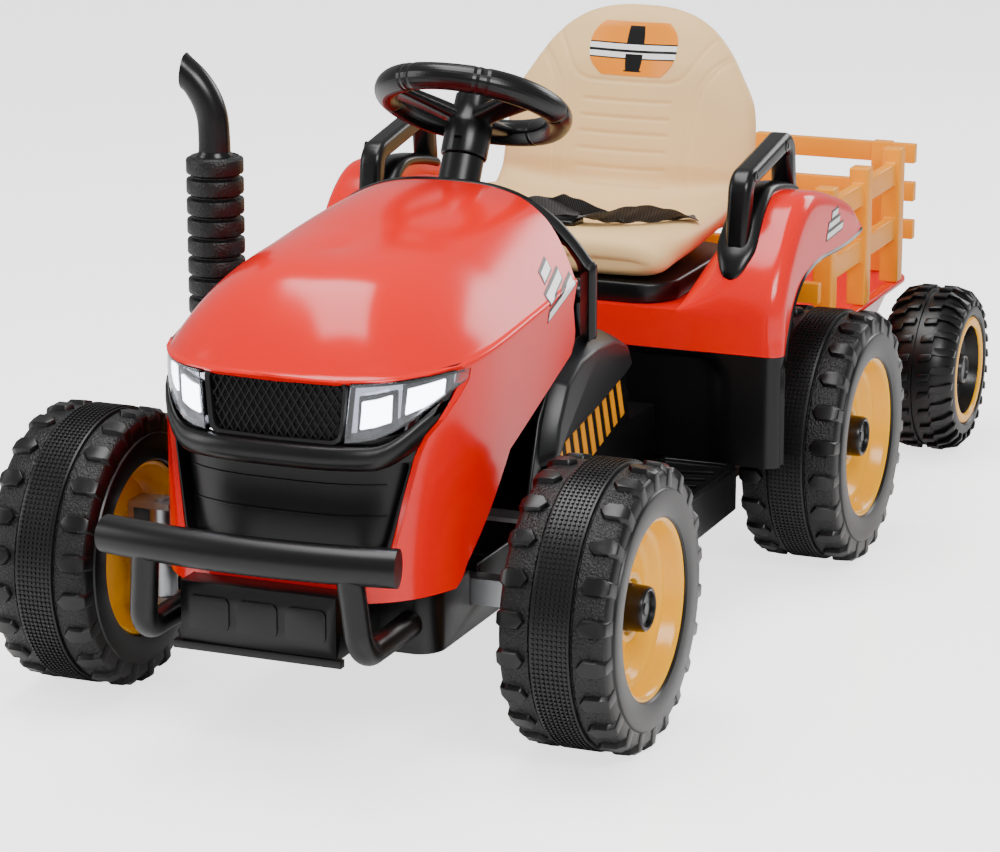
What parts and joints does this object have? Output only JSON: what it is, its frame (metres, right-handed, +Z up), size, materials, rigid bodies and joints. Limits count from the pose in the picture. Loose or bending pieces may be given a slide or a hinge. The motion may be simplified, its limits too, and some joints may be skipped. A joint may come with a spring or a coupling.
{
  "type": "ride-on toy tractor",
  "caption": "Ride-on toy tractor with steerable front wheels, padded seat, armrests, lit headlamps, exhaust stack and a hitched trailer with a slatted fence.",
  "frame": {"origin": "on the floor, under the middle of the whole length and width", "axes": "+Z up, the tractor faces -Y, +X is the tractor's left side"},
  "size_m": [0.614, 1.4279, 0.56],
  "materials": {
    "red_shell": "glossy",
    "black_body": "satin",
    "black_grip": "satin",
    "mesh_black": "satin",
    "lamp_lens": "clear",
    "lamp_light": "lit",
    "lamp_housing": "bright",
    "tyre_black": "moulded",
    "rim_yellow": "glossy",
    "fence_yellow": "satin",
    "seat_beige": "satin",
    "belt_webbing": "woven",
    "steel": "brushed",
    "battery_case": "satin",
    "horn_orange": "glossy"
  },
  "bodies": {
    "chassis": {"chassis_pan": "black_body", "grille_panel": "black_body", "skid_plate": "black_body", "bull_bar": "black_body", "front_axle_beam": "steel", "hood_shell": "red_shell", "dash_trim": "black_body", "grille_mesh": "mesh_black", "headlight_housings": "lamp_housing", "headlight_lenses": "lamp_lens", "headlight_leds": "lamp_light", "console": "black_body", "exhaust_stack": "black_body", "exhaust_pipe": "black_body", "column_sleeve": "black_body", "rear_body_shell": "red_shell", "rear_lower_body": "black_body", "arch_trims": "black_body", "seat_base": "black_body", "seat": "seat_beige", "lap_belt": "belt_webbing", "belt_buckle": "black_body", "armrest_left": "black_grip", "armrest_right": "black_grip", "armrest_bases": "black_body", "battery": "battery_case", "rear_axle": "steel", "gear_motors": "black_body", "hitch_bracket": "steel"},
    "steering": {"steering_wheel": "black_grip", "steering_shaft": "steel"},
    "horn": {"horn_button": "horn_orange"},
    "knuckle_left": {"knuckle_left": "steel"},
    "knuckle_right": {"knuckle_right": "steel"},
    "tie_rod": {"tie_rod": "steel"},
    "pedal": {"accelerator_pedal": "black_grip"},
    "lever": {"gear_lever": "black_grip"},
    "hitch_pin": {"hitch_pin": "steel"},
    "trailer": {"trailer_tub": "red_shell", "trailer_frame": "steel", "fence_left": "fence_yellow", "fence_right": "fence_yellow", "fence_front": "fence_yellow", "fence_rear": "fence_yellow"},
    "front_left_wheel": {"front_left_tyre": "tyre_black", "front_left_rim": "rim_yellow", "front_left_hub_cap": "black_body"},
    "front_right_wheel": {"front_right_tyre": "tyre_black", "front_right_rim": "rim_yellow", "front_right_hub_cap": "black_body"},
    "rear_left_wheel": {"rear_left_tyre": "tyre_black", "rear_left_rim": "rim_yellow", "rear_left_hub_cap": "black_body"},
    "rear_right_wheel": {"rear_right_tyre": "tyre_black", "rear_right_rim": "rim_yellow", "rear_right_hub_cap": "black_body"},
    "trailer_left_wheel": {"trailer_left_tyre": "tyre_black", "trailer_left_rim": "rim_yellow"},
    "trailer_right_wheel": {"trailer_right_tyre": "tyre_black", "trailer_right_rim": "rim_yellow"}
  },
  "joints": [
    {"name": "steering_turn", "type": "hinge", "parent": "chassis", "child": "steering", "pos_m": [0, -0.189, 0.508], "axis": [0, 0.4695, 0.8829], "range_deg": [-45, 45]},
    {"name": "horn_press", "type": "slide", "parent": "steering", "child": "horn", "axis": [0, -0.4695, -0.8829], "range_m": [0, 0.003], "stiffness_N_per_m": 400, "springref_m": -0.002},
    {"name": "tie_rod_slide", "type": "slide", "parent": "chassis", "child": "tie_rod", "axis": [1, 0, 0], "range_m": [-0.019, 0.019]},
    {"name": "kingpin_left", "type": "hinge", "parent": "chassis", "child": "knuckle_left", "pos_m": [0.184, -0.493, 0.13], "axis": [0, 0, 1], "range_deg": [-18, 18]},
    {"name": "front_left_spin", "type": "hinge", "parent": "knuckle_left", "child": "front_left_wheel", "pos_m": [0.249, -0.493, 0.13], "axis": [1, 0, 0], "continuous": true},
    {"name": "rear_left_spin", "type": "hinge", "parent": "chassis", "child": "rear_left_wheel", "pos_m": [0.254, 0.138, 0.13], "axis": [1, 0, 0], "continuous": true},
    {"name": "trailer_left_spin", "type": "hinge", "parent": "trailer", "child": "trailer_left_wheel", "pos_m": [0.245, 0.592, 0.095], "axis": [1, 0, 0], "continuous": true},
    {"name": "kingpin_right", "type": "hinge", "parent": "chassis", "child": "knuckle_right", "pos_m": [-0.184, -0.493, 0.13], "axis": [0, 0, 1], "range_deg": [-18, 18]},
    {"name": "front_right_spin", "type": "hinge", "parent": "knuckle_right", "child": "front_right_wheel", "pos_m": [-0.249, -0.493, 0.13], "axis": [1, 0, 0], "continuous": true},
    {"name": "rear_right_spin", "type": "hinge", "parent": "chassis", "child": "rear_right_wheel", "pos_m": [-0.254, 0.138, 0.13], "axis": [1, 0, 0], "continuous": true},
    {"name": "trailer_right_spin", "type": "hinge", "parent": "trailer", "child": "trailer_right_wheel", "pos_m": [-0.245, 0.592, 0.095], "axis": [1, 0, 0], "continuous": true},
    {"name": "pedal_press", "type": "hinge", "parent": "chassis", "child": "pedal", "pos_m": [-0.1725, -0.251, 0.138], "axis": [1, 0, 0], "range_deg": [0, 15], "stiffness_Nm_per_rad": 0.6, "springref_deg": -11.46},
    {"name": "lever_shift", "type": "hinge", "parent": "chassis", "child": "lever", "pos_m": [0.1, -0.173, 0.272], "axis": [1, 0, 0], "range_deg": [-15, 15]},
    {"name": "hitch_yaw", "type": "hinge", "parent": "chassis", "child": "trailer", "pos_m": [0, 0.272, 0.11], "axis": [0, 0, 1], "range_deg": [-25, 25]},
    {"name": "hitch_pin_lift", "type": "slide", "parent": "chassis", "child": "hitch_pin", "axis": [0, 0, 1], "range_m": [0, 0.05]}
  ],
  "couplings": [
    {"joint": "tie_rod_slide", "follows": "steering_turn", "m_per_rad": -0.024},
    {"joint": "kingpin_left", "follows": "steering_turn", "ratio": 0.4},
    {"joint": "kingpin_right", "follows": "steering_turn", "ratio": 0.4}
  ]
}
